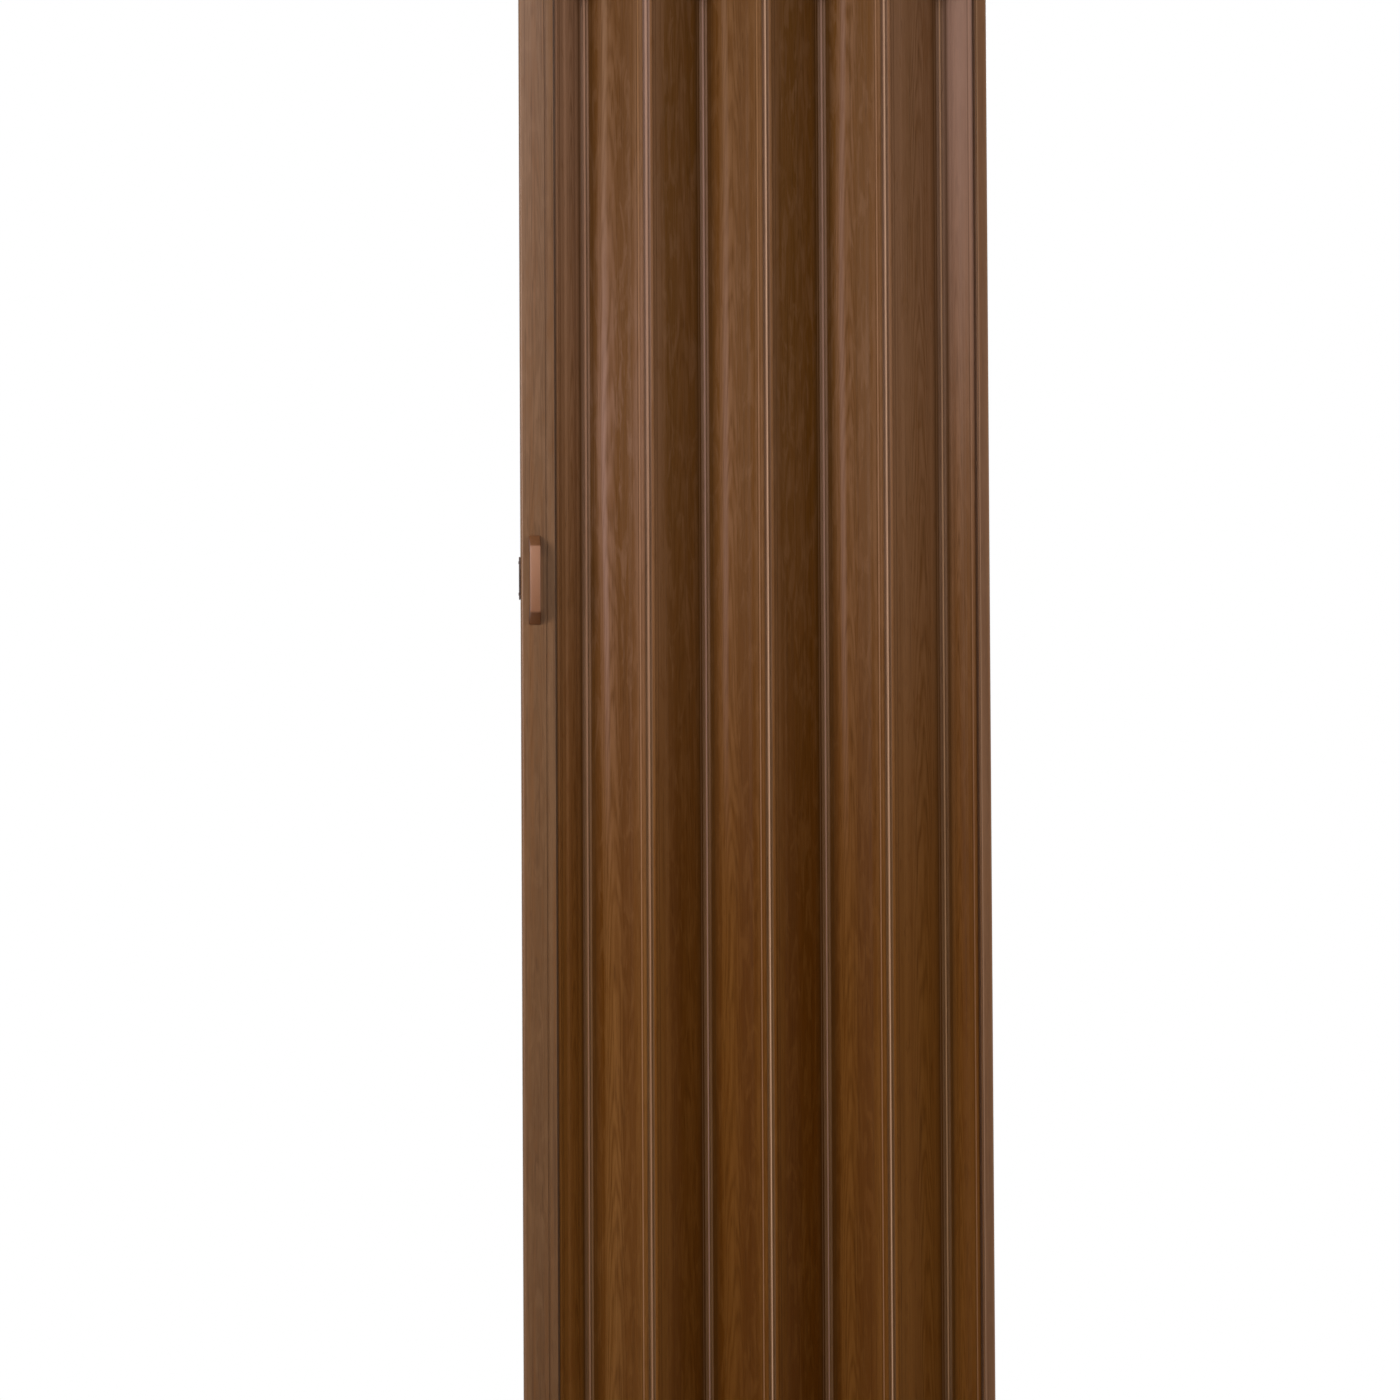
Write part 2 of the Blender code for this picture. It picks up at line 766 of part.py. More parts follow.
def wheel(name, parent, location, side):
    """A flat-treaded wheel with a raised hub on its outer side. side is -1 or +1 along Y."""
    half = wheel_width / 2
    bore = axle_radius + seat_gap
    chamfer = hub_step
    profile = [(bore, half + hub_step), (hub_radius, half + hub_step), (hub_radius, half),
               (wheel_radius - chamfer, half), (wheel_radius, half - chamfer),
               (wheel_radius, -half + chamfer), (wheel_radius - chamfer, -half), (bore, -half),
               (bore, half + hub_step)]
    rim = turned(name, profile, hole_sides, parent, location, (-side * math.pi / 2, 0, 0))
    return finish(rim, nylon_white)


def wheel_set(label, carriage, along, first):
    """An axle along Y through the carriage with a wheel at each end. The axle's own space is the pair's."""
    outer = wheel_inner + wheel_width + hub_step + axle_overhang
    axle_mesh = rod_mesh("axle", axle_radius, 2 * outer, (0, 0, 0), "Y", hole_sides)
    place = (along, 0, axle_height)
    axle = mesh_object(f"{label}_axle{first}", axle_mesh, door, carriage, place)
    smooth_round(axle)
    finish(axle, steel, metal_roughness, 1.0)
    middle = wheel_inner + wheel_width / 2
    wheel(f"{label}_wheel{first}_front", axle, (0, -middle, 0), -1)
    wheel(f"{label}_wheel{first}_rear", axle, (0, middle, 0), 1)


def carriage_body(name, half_length, parent, location, turn):
    """The block between the wheels, drawn from its side and rounded at its upper corners."""
    low = -track_height + seat_gap
    high = axle_height + carriage_above_axle
    corner = carriage_above_axle
    right = [(half_length, low)] + arc((half_length - corner, high - corner), corner, 0, 90, corner_steps)
    outline = right + [(-x, y) for x, y in reversed(right)]
    mesh = extruded_mesh(name, [outline], 2 * carriage_half_width)
    mesh.transform(Matrix.Rotation(math.pi / 2, 4, "X"))
    return mesh_object(name, mesh, door, parent, location, (0, 0, turn))


def axle_bore(along):
    return rod_mesh("axle_bore", axle_bore_radius, 4 * carriage_half_width, (along, 0, axle_height),
                    "Y", hole_sides)


def swivel_carriage(number, slat_piece, turn):
    """A carriage whose stem hangs the slat and turns in the slat's plug, so that it stays in line."""
    name = f"carriage_{number}"
    place = (-slat_pitch / 2, 0, -slat_middle)
    carriage = carriage_body(name, carriage_half_length, slat_piece, place, turn)
    head_top = slat_top - seat_gap
    stem_top = axle_height - axle_bore_radius - 2 * seat_gap
    stem_bottom = head_top - stem_head_height / 2
    stem_middle = (stem_top + stem_bottom) / 2
    join(carriage, rod_mesh("stem", stem_radius, stem_top - stem_bottom, (0, 0, stem_middle)))
    head_middle = head_top - stem_head_height / 2
    join(carriage, rod_mesh("head", stem_tip_radius, stem_head_height, (0, 0, head_middle),
                            end_radius=stem_head_radius))
    cut(carriage, axle_bore(0))
    finish(carriage, nylon_white)
    wheel_set(f"carriage_{number}", carriage, 0, "")


def hanger_plug(number, slat_piece):
    """The plug in a slat's middle chamber: a flange on the slat's end, a bore and two legs."""
    name = f"hanger_plug_{number}"
    flange_bottom = slat_length / 2 + seat_gap
    leg_half = hanger_chamber_half() - seat_gap
    chamber_half = hanger_chamber / 2 - slat_wall / 2 - seat_gap
    flange_size = (hanger_chamber, 2 * (leg_half + slat_wall), plug_flange)
    flange = block_mesh(name, flange_size, (0, 0, flange_bottom + plug_flange / 2))
    plug = mesh_object(name, flange, door, slat_piece, (-slat_pitch / 2, 0, 0))
    overlap = plug_flange / 2
    leg_size = (plug_leg_width, 2 * leg_half, plug_leg_length + overlap)
    leg_x = chamber_half - plug_leg_width / 2
    leg_z = flange_bottom + (overlap - plug_leg_length) / 2
    join(plug, *[block_mesh("leg", leg_size, (side * leg_x, 0, leg_z)) for side in (-1, 1)])
    cut(plug, rod_mesh("bore", stem_radius + seat_gap, 4 * plug_flange, (0, 0, flange_bottom)))
    return finish(plug, nylon_white)


def chamber_fit_outline():
    """What slides into the lead post's large chamber, with rounded corners at its outer end."""
    low, high = post_chamber_span()
    half_length = (high - low) / 2 - seat_gap
    half_width = post_half - post_wall - seat_gap
    corner = post_corner - post_wall
    upper = [(half_length, half_width)]
    upper += arc((-half_length + corner, half_width - corner), corner, 90, 180, small_corner_steps)
    return upper + mirrored(upper)


def lead_plug(post):
    """The plug in the top of the lead post, slotted for the carriage's blade."""
    low, high = post_chamber_span()
    middle = (low + high) / 2
    top = slat_length / 2 + seat_gap
    body = extruded_between("lead_plug", [chamber_fit_outline()], top - lead_plug_depth,
                            top + lead_flange / 2)
    plug = mesh_object("lead_plug", body, door, post, (middle, 0, 0))
    flange = (high - low + post_wall, post_thickness - post_wall, lead_flange)
    join(plug, block_mesh("flange", flange, (0, 0, top + lead_flange / 2)))
    slot_depth = lead_blade_depth + 2 * seat_gap
    slot = (2 * (lead_blade_half_length + seat_gap), 2 * (lead_blade_half_thickness + seat_gap),
            slot_depth + 2 * lead_flange)
    cut(plug, block_mesh("blade_slot", slot, (0, 0, top + lead_flange - slot_depth / 2)))
    cut(plug, cross_pin_hole(post_thickness, top - cross_pin_depth))
    finish(plug, nylon_white)
    return middle


def cross_pin_hole(length, height):
    return rod_mesh("pin_hole", cross_pin_radius + seat_gap, length, (0, 0, height), "Y", hole_sides)


def lead_carriage(post, middle):
    """The four-wheeled carriage of the lead post, whose blade goes down into the plug."""
    top = slat_length / 2 + seat_gap
    place = (middle, 0, -slat_middle)
    carriage = carriage_body("lead_carriage", lead_carriage_half_length, post, place, 0)
    blade_top = axle_height - axle_bore_radius - seat_gap
    blade_bottom = slat_top + seat_gap + lead_flange / 2 - lead_blade_depth
    blade = (2 * lead_blade_half_length, 2 * lead_blade_half_thickness, blade_top - blade_bottom)
    join(carriage, block_mesh("blade", blade, (0, 0, (blade_top + blade_bottom) / 2)))
    cut(carriage, cross_pin_hole(post_thickness, top - cross_pin_depth + slat_middle),
        axle_bore(-lead_axle_spacing / 2), axle_bore(lead_axle_spacing / 2))
    finish(carriage, nylon_white)
    wheel_set("lead", carriage, -lead_axle_spacing / 2, "_a")
    wheel_set("lead", carriage, lead_axle_spacing / 2, "_b")
    pin_length = 2 * (post_half - post_wall - 2 * seat_gap)
    pin_mesh = rod_mesh("lead_plug_pin", cross_pin_radius, pin_length, (0, 0, 0), "Y",
                        hole_sides)
    pin = mesh_object("lead_plug_pin", pin_mesh, door, post, (middle, 0, top - cross_pin_depth))
    smooth_round(pin)
    finish(pin, steel, metal_roughness, 1.0)


def foot_cap(post):
    """The cap that closes the lead post's lower end."""
    low, high = post_chamber_span()
    bottom = -slat_length / 2 - seat_gap
    body = extruded_between("foot_cap", [chamber_fit_outline()], bottom - foot_cap_flange / 2,
                            bottom + foot_cap_depth)
    cap = mesh_object("foot_cap", body, door, post, ((low + high) / 2, 0, 0))
    half_width = post_width / 2
    flange = [(half_width, post_half)]
    flange += arc((-half_width + post_corner, post_half - post_corner), post_corner, 90, 180,
                  corner_steps)
    plate = extruded_between("flange", [flange + mirrored(flange)], bottom - foot_cap_flange, bottom)
    shift = -edge_clearance - half_width - (low + high) / 2
    plate.transform(Matrix.Translation((shift, 0, 0)))
    join(cap, plate)
    return finish(cap, dark_brown)


# Assembly, from the wall to the lead post

def fold_up():
    """Hangs the chain. Each slat leans the other way from the last, and each strip lies along the track."""
    full_loops = full_slat_loops()
    half_loops = half_slat_loops()
    parent = slat("half_slat_jamb", half_loops, 1, None, (jamb_pivot, 0, slat_middle), -fold)
    lean = -1
    reach = slat_pitch / 2
    for number in range(7, 0, -1):
        strip = hinge_strip(number, parent, (-reach, 0, 0), -lean * fold)
        lean = -lean
        beyond = (-strip_pitch, 0, 0)
        reach = slat_pitch
        if number == 1:
            parent = slat("half_slat_lead", half_loops, -lean, strip, beyond, lean * fold)
            break
        parent = slat(f"slat_{number - 1}", full_loops, -lean, strip, beyond, lean * fold)
        if number % 2:
            hanger_plug(number - 1, parent)
            swivel_carriage(number - 1, parent, -lean * fold)
    return lead_post(parent, (-slat_pitch / 2, 0, 0), -lean * fold)


top_track()
wall_channel()
jamb_insert()
post = fold_up()
front_handle(post)
rear_handle(post)
handle_screws(post)
catch_plate(post)
catch_magnet(post)
catch_screws(post)
plug_middle = lead_plug(post)
lead_carriage(post, plug_middle)
foot_cap(post)
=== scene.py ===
import json
import math

import bpy
from mathutils import Matrix, Vector


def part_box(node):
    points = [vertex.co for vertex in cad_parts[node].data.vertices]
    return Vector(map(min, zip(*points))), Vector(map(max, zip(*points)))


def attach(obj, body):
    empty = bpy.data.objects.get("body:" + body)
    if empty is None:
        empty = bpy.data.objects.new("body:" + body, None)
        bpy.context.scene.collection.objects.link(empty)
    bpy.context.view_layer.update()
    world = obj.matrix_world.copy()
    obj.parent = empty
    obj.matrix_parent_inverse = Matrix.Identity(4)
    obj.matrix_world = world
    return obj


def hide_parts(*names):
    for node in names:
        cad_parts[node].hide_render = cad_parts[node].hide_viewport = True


with open("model.json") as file:
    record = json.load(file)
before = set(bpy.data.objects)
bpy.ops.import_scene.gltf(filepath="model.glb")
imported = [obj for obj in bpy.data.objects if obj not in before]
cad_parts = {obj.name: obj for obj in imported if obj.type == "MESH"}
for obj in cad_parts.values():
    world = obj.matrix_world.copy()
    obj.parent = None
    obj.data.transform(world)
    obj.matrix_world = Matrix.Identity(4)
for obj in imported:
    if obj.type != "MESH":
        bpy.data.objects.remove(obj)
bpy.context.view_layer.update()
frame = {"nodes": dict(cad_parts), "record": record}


print("frame loaded:", len(frame["nodes"]), "nodes")


def feed(tree, value, socket):
    if isinstance(value, (int, float)):
        socket.default_value = value
    elif isinstance(value, tuple):
        socket.default_value = (*value, 1.0)
    else:
        tree.links.new(value, socket)


def mathNode(tree, operation, *values):
    node = tree.nodes.new("ShaderNodeMath")
    node.operation = operation
    for value, socket in zip(values, node.inputs):
        feed(tree, value, socket)
    return node.outputs[0]


def mapRange(tree, value, span, becomes=(0.0, 1.0)):
    node = tree.nodes.new("ShaderNodeMapRange")
    node.interpolation_type = "SMOOTHSTEP"
    tree.links.new(value, node.inputs["Value"])
    node.inputs["From Min"].default_value, node.inputs["From Max"].default_value = span
    node.inputs["To Min"].default_value, node.inputs["To Max"].default_value = becomes
    return node.outputs["Result"]


def shaderMix(tree, factor, first, second):
    node = tree.nodes.new("ShaderNodeMixShader")
    for value, socket in zip((factor, first, second), node.inputs):
        tree.links.new(value, socket)
    return node.outputs[0]


def separate(tree, vector):
    node = tree.nodes.new("ShaderNodeSeparateXYZ")
    tree.links.new(vector, node.inputs[0])
    return node.outputs["X"], node.outputs["Y"], node.outputs["Z"]


def srgb(red, green, blue):
    def linear(value):
        value = value / 255.0
        return value / 12.92 if value <= 0.04045 else ((value + 0.055) / 1.055) ** 2.4
    return (linear(red), linear(green), linear(blue))


view = {
    "centre": (0.0040, 0.0, -1.0234),
    "distance": 12.0,
    "fromLeft": 3.6,         # degrees left of square on
    "fromBelow": 3.2,
    "roll": -0.29,
    "heightSeen": 1.9545,    # at the door
    "sensorWidth": 36.0,
}


def placeCamera():
    left = math.radians(view["fromLeft"])
    below = math.radians(view["fromBelow"])
    toCamera = Vector((-math.sin(left) * math.cos(below), -math.cos(left) * math.cos(below), -math.sin(below)))
    data = bpy.data.cameras.new("photoCamera")
    data.sensor_width = view["sensorWidth"]
    data.lens = data.sensor_width * view["distance"] / view["heightSeen"]
    camera = bpy.data.objects.new("photoCamera", data)
    bpy.context.scene.collection.objects.link(camera)
    camera.location = Vector(view["centre"]) + toCamera * view["distance"]
    facing = (-toCamera).to_track_quat("-Z", "Y").to_matrix().to_4x4()
    turned = facing @ Matrix.Rotation(math.radians(view["roll"]), 4, "Z")
    camera.rotation_euler = turned.to_euler()
    bpy.context.scene.camera = camera


lamps = {
    "leftKey": {
        "at": (-2.30, -1.90, -0.35),
        "aim": (0.05, 0.0, -0.80),
        "size": 1.2,
        "watts": 72.0,
        "colour": (0.985, 0.965, 1.0),
    },
    "rightFill": {
        "at": (2.45, -2.05, -0.40),
        "aim": (0.05, 0.0, -0.85),
        "size": 1.6,
        "watts": 33.0,
        "colour": (1.0, 0.935, 0.85),
    },
    "highFront": {
        "at": (-0.60, -2.60, 0.55),
        "aim": (0.05, 0.0, -0.35),
        "size": 1.2,
        "watts": 20.0,
        "colour": (0.985, 0.955, 1.0),
    },
    "rear": {
        "at": (1.20, 3.40, 0.90),
        "aim": (0.05, 0.0, -0.95),
        "size": 1.6,
        "watts": 95.0,
        "colour": (1.0, 0.98, 0.97),
    },
}


def addLamp(name, settings):
    data = bpy.data.lights.new(name, "AREA")
    data.shape = "SQUARE"
    data.size = settings["size"]
    data.energy = settings["watts"]
    data.color = settings["colour"]
    lamp = bpy.data.objects.new(name, data)
    bpy.context.scene.collection.objects.link(lamp)
    lamp.location = settings["at"]
    towards = Vector(settings["aim"]) - Vector(settings["at"])
    lamp.rotation_euler = towards.to_track_quat("-Z", "Y").to_euler()


surround = {
    "backdrop": (1.0, 1.0, 1.0),
    "fill": (1.0, 0.97, 0.94),
    "fillStrength": 0.14,
    "floorColour": (0.86, 0.86, 0.86),
    "floorAt": (0.08, 0.0, -2.030),
    "floorRadius": 3.2,
    "floorSides": 96,
    "shadow": (0.30, 0.62),    # the floor's shadow is whole out to the first and gone from the second on
}


def addWorld():
    world = bpy.data.worlds.new("studio")
    bpy.context.scene.world = world
    world.use_nodes = True
    tree = world.node_tree
    tree.nodes.clear()
    out = tree.nodes.new("ShaderNodeOutputWorld")
    soft = tree.nodes.new("ShaderNodeBackground")
    white = tree.nodes.new("ShaderNodeBackground")
    path = tree.nodes.new("ShaderNodeLightPath")
    feed(tree, surround["fill"], soft.inputs["Color"])
    feed(tree, surround["fillStrength"], soft.inputs["Strength"])
    feed(tree, surround["backdrop"], white.inputs["Color"])
    direct = mathNode(tree, "MAXIMUM", path.outputs["Is Camera Ray"], path.outputs["Is Glossy Ray"])
    direct = mathNode(tree, "MAXIMUM", direct, path.outputs["Is Transmission Ray"])
    tree.links.new(shaderMix(tree, direct, soft.outputs[0], white.outputs[0]), out.inputs["Surface"])


def addFloor():
    bpy.ops.mesh.primitive_circle_add(vertices=surround["floorSides"], radius=surround["floorRadius"],
                                      fill_type="NGON", location=surround["floorAt"])
    floor = bpy.context.object
    floor.name = "floor"
    material = bpy.data.materials.new("paleFloor")
    material.use_nodes = True
    tree = material.node_tree
    tree.nodes.clear()
    out = tree.nodes.new("ShaderNodeOutputMaterial")
    matte = tree.nodes.new("ShaderNodeBsdfDiffuse")
    white = tree.nodes.new("ShaderNodeEmission")
    clear = tree.nodes.new("ShaderNodeBsdfTransparent")
    coords = tree.nodes.new("ShaderNodeTexCoord")
    facing = tree.nodes.new("ShaderNodeNewGeometry")
    path = tree.nodes.new("ShaderNodeLightPath")
    fromMiddle = tree.nodes.new("ShaderNodeVectorMath")
    fromMiddle.operation = "LENGTH"
    tree.links.new(coords.outputs["Object"], fromMiddle.inputs[0])
    feed(tree, surround["floorColour"], matte.inputs["Color"])
    direct = mathNode(tree, "MAXIMUM", path.outputs["Is Camera Ray"], path.outputs["Is Glossy Ray"])
    fade = mapRange(tree, fromMiddle.outputs["Value"], surround["shadow"])
    surface = shaderMix(tree, mathNode(tree, "MULTIPLY", direct, fade), matte.outputs[0], white.outputs[0])
    # seen from under it, the floor is left out
    surface = shaderMix(tree, facing.outputs["Backfacing"], surface, clear.outputs[0])
    tree.links.new(surface, out.inputs["Surface"])
    floor.data.materials.append(material)


placeCamera()
for lampName, lampSettings in lamps.items():
    addLamp(lampName, lampSettings)
addWorld()
addFloor()
bpy.context.scene.view_settings.view_transform = "Standard"
print("camera, lamps, world and floor placed")


def newMaterial(name):
    material = bpy.data.materials.new(name)
    material.use_nodes = True
    tree = material.node_tree
    coords = tree.nodes.new("ShaderNodeTexCoord")
    return material, tree, tree.nodes["Principled BSDF"], coords.outputs["Object"]


def noiseNode(tree, vector, scale, detail=2.0, rough=0.5, distortion=0.0):
    stretch = tree.nodes.new("ShaderNodeMapping")
    stretch.inputs["Scale"].default_value = scale
    tree.links.new(vector, stretch.inputs["Vector"])
    node = tree.nodes.new("ShaderNodeTexNoise")
    node.inputs["Scale"].default_value = 1.0
    node.inputs["Detail"].default_value = detail
    node.inputs["Roughness"].default_value = rough
    node.inputs["Distortion"].default_value = distortion
    tree.links.new(stretch.outputs["Vector"], node.inputs["Vector"])
    return node.outputs["Fac"]


def colourMix(tree, factor, first, second, blend="MIX"):
    node = tree.nodes.new("ShaderNodeMix")
    node.data_type = "RGBA"
    node.blend_type = blend
    for value, socket in ((factor, node.inputs[0]), (first, node.inputs[6]), (second, node.inputs[7])):
        feed(tree, value, socket)
    return node.outputs[2]


def bumpNode(tree, height, strength, distance, after=None):
    node = tree.nodes.new("ShaderNodeBump")
    node.inputs["Strength"].default_value = strength
    node.inputs["Distance"].default_value = distance
    tree.links.new(height, node.inputs["Height"])
    if after is not None:
        tree.links.new(after, node.inputs["Normal"])
    return node.outputs["Normal"]


def awayFrom(tree, value, place):
    return mathNode(tree, "ABSOLUTE", mathNode(tree, "SUBTRACT", value, place))


slatPrint = {
    "deep": srgb(85, 52, 13),
    "pale": srgb(120, 86, 60),
    "warm": srgb(95, 59, 24),
    "line": srgb(60, 36, 11),
    # the colour of the highlight painted along the rounded edges
    "edge": srgb(150, 112, 84),
    "foot": (0.77, 0.60, 0.23),    # painted shade: what the colour is multiplied by at the foot
    "specular": 0.05,
    "roughness": 0.36,
    "figureShare": 0.20,
    "streakShare": 0.32,
    "rippleShare": 0.36,
    "lineShare": 0.24,
    "highlightShare": 0.60,
}
palePrint = {
    "deep": srgb(88, 61, 38),
    "pale": srgb(120, 90, 66),
    "warm": srgb(104, 69, 40),
    "line": srgb(72, 47, 30),
    # the colour of the highlight painted along the rounded edges
    "edge": srgb(140, 105, 78),
    "foot": (0.88, 0.82, 0.66),
    "specular": 0.22,
    "roughness": 0.30,
    "figureShare": 0.16,
    "streakShare": 0.46,
    "rippleShare": 0.22,
    "lineShare": 0.24,
    "highlightShare": 0.80,
}
# slat_1's print, whose pale colour carries a painted mauve sheen
mauveSheenPrint = {
    **slatPrint,
    "pale": srgb(126, 94, 75),
    "warm": srgb(101, 67, 39),
}
postPrint = {
    **palePrint,
    "edge": srgb(112, 82, 58),
    "streakShare": 0.75,
    "rippleShare": 0.40,
    "lineShare": 0.42,
}
channelPrint = {
    **palePrint,
    "deep": srgb(89, 61, 42),
    "pale": srgb(116, 85, 62),
    "edge": srgb(134, 102, 78),
    "foot": (1.0, 0.96, 0.84),
}
stripPrint = {
    **palePrint,
    "deep": srgb(114, 84, 62),
    "pale": srgb(134, 102, 80),
    "foot": (0.84, 0.75, 0.50),
    "specular": 0.12,
}
# how pale the print is from the valley edge of a slat (0) to its ridge edge (1): partly print and partly painted
# light, with painted shade towards the valley and a painted sheen band, paler on the odd slats than on the even ones
oddPrintAndLight = ((0.0, 0.05), (0.09, 0.10), (0.18, 0.72), (0.36, 0.90), (0.50, 0.62), (0.62, 0.26),
            (0.80, 0.20), (0.92, 0.38), (1.0, 0.66))
evenPrintAndLight = ((0.0, 0.0), (0.16, 0.04), (0.34, 0.26), (0.46, 0.20), (0.62, 0.0), (0.76, 0.02),
             (0.86, 0.34), (0.93, 0.62), (1.0, 0.70))
halfBands = ((0.0, 0.45), (0.3, 0.60), (0.7, 0.35), (1.0, 0.50))
plainBands = ((0.0, 0.55), (0.5, 0.40), (1.0, 0.60))

grainNoise = {    # scale along X, Y and Z, detail, roughness, distortion
    "wander": ((3.0, 2.0, 1.5), 1.0, 0.5),
    "tone": ((16.0, 8.0, 0.9), 2.0, 0.5),
    "streak": ((130.0, 90.0, 1.7), 2.0, 0.5),
    "fibre": ((700.0, 500.0, 9.0), 2.0, 0.55),
    "dash": ((520.0, 420.0, 26.0), 1.0, 0.5),
    "flow": ((34.0, 20.0, 3.2), 2.0, 0.5),
    "straight": ((430.0, 300.0, 3.4), 1.5, 0.5),
    "ripple": ((95.0, 60.0, 17.0), 3.0, 0.55, 0.8),
    "waviness": ((22.0, 16.0, 1.6), 1.0, 0.5),
}
bandsOfTone = {
    "wanderReach": 0.018,
    "toneShare": 0.8,
    "toneMiddle": 0.40,
    "paleness": (-0.10, 1.10),
}
arches = {    # the flame figure: nested arches about a line beside the slat's middle
    "besideMiddle": 0.18,      # in shares of the reach, as the next one
    "halfWidth": 0.36,
    "steepness": 1.5,
    "perMetre": 11.0,
    "waviness": 5.0,
    "period": 0.5,
    "fade": (0.7, 2.1),
    "line": (0.03, 0.20),
    "shade": (0.06, 0.46),
    "broken": (0.36, 0.60),
    "brokenShare": (0.15, 1.0),
}
grainSpans = {    # the stretch of the noise over which each layer of grain sets in
    "ripplePale": (0.44, 0.68),
    "rippleWarm": (0.30, 0.46),
    "streak": (0.45, 0.75),
    "fibre": (0.40, 0.75),
    "straight": (0.56, 0.70),
    "dash": (0.62, 0.76),
}
fibreShare, dashShare = 0.16, 0.30
paintedLightAndShade = {    # painted light and shade along each run; heights are Z, which is 0 at the lintel, and the valley's span is in shares of the reach
    "footHeight": (-1.50, -0.45),
    "highlightSpan": (0.3, 1.5),      # in widths of the painted highlight
    "glareHeight": (-0.90, 0.05),
    "glareColour": srgb(160, 130, 118),
    "valleySpan": (-1.12, -0.72),
    "valleyShadeShare": 0.55,
    "grooveAt": 0.0025,          # inside the edge with the painted highlight
    "grooveSpan": (0.0002, 0.0011),
    "grooveShadeShare": 0.50,
    "sheenAt": 0.42,             # in shares of the reach, as the next one
    "sheenSpan": (0.03, 0.20),
    "sheenHeight": (-1.30, -0.80),
    "headHeight": (-0.70, -0.12),
    "headColour": (0.82, 0.76, 0.56),
}
surfaceRelief = {
    "roughnessSpread": 0.14,
    "tint": (1.0, 0.82, 0.74),
    "waveStrength": 0.30,
    "waveDepth": 0.0006,
    "figureDepth": -0.6,         # beside the fibres' 1
    "grainStrength": 0.18,
    "grainDepth": 0.00010,
}
seedStep = (0.37, 0.11, 1.3)    # how far apart in the noise two prints lie


def bandValue(tree, across, reach, bands):
    share = tree.nodes.new("ShaderNodeMapRange")
    share.inputs["From Min"].default_value = -reach
    share.inputs["From Max"].default_value = reach
    tree.links.new(across, share.inputs["Value"])
    ramp = tree.nodes.new("ShaderNodeValToRGB")
    ramp.color_ramp.interpolation = "EASE"
    stops = ramp.color_ramp.elements
    while len(stops) < len(bands):
        stops.new(0.5)
    for stop, (place, value) in zip(stops, bands):
        stop.position = place
        stop.color = (value, value, value, 1.0)
    tree.links.new(share.outputs["Result"], ramp.inputs["Fac"])
    return ramp.outputs["Color"]


def printPlace(tree, place, middle, settings):
    # local runs from the piece's middle across its flat face, and grain is the same, moved on by the seed
    centred = tree.nodes.new("ShaderNodeMapping")
    centred.vector_type = "TEXTURE"
    centred.inputs["Location"].default_value = (middle.x, middle.y, 0.0)
    centred.inputs["Rotation"].default_value = (0.0, 0.0, math.radians(settings["turn"]))
    tree.links.new(place, centred.inputs["Vector"])
    local = centred.outputs["Vector"]
    moved = tree.nodes.new("ShaderNodeVectorMath")
    moved.operation = "ADD"
    moved.inputs[1].default_value = [settings["seed"] * step for step in seedStep]
    tree.links.new(local, moved.inputs[0])
    return local, moved.outputs["Vector"]


def archFigure(tree, noises, across, height, settings):
    # the thin lines of the figure, and the soft shade inside each arch
    reach = settings["reach"]
    fromAxis = mathNode(tree, "DIVIDE", mathNode(tree, "ADD", across, reach * arches["besideMiddle"]),
                        reach * arches["halfWidth"])
    rise = mathNode(tree, "MULTIPLY_ADD", mathNode(tree, "MULTIPLY", fromAxis, fromAxis), arches["steepness"],
                    mathNode(tree, "MULTIPLY", height, arches["perMetre"]))
    wave = mathNode(tree, "PINGPONG", mathNode(tree, "MULTIPLY_ADD", noises["flow"], arches["waviness"], rise),
                    arches["period"])
    inMiddle = mapRange(tree, mathNode(tree, "ABSOLUTE", fromAxis), arches["fade"], (1.0, 0.0))
    broken = mapRange(tree, noises["dash"], arches["broken"], arches["brokenShare"])
    figure = mathNode(tree, "MULTIPLY", mapRange(tree, wave, arches["line"], (1.0, 0.0)),
                      mathNode(tree, "MULTIPLY", inMiddle, broken))
    shadeShare = (settings["look"]["rippleShare"], 0.0)
    shade = mathNode(tree, "MULTIPLY", mapRange(tree, wave, arches["shade"], shadeShare), inMiddle)
    return figure, shade


def addGrain(tree, base, noises, figure, shade, look):
    figureLine = mathNode(tree, "MULTIPLY", figure, look["figureShare"])

    def setIn(noiseName, spanName, *shares):
        return mapRange(tree, noises[noiseName], grainSpans[spanName], shares)

    layers = (
        (shade, "deep"),
        (setIn("ripple", "ripplePale", 0.0, look["rippleShare"]), "pale"),
        (setIn("ripple", "rippleWarm", look["rippleShare"], 0.0), "warm"),
        (setIn("streak", "streak", 0.0, look["streakShare"]), "warm"),
        (setIn("fibre", "fibre", 0.0, fibreShare), "pale"),
        (figureLine, "line"),
        (setIn("straight", "straight", 0.0, look["lineShare"]), "line"),
        (setIn("dash", "dash", 0.0, dashShare), "line"),
    )
    for share, colourName in layers:
        base = colourMix(tree, share, base, look[colourName])
    return base


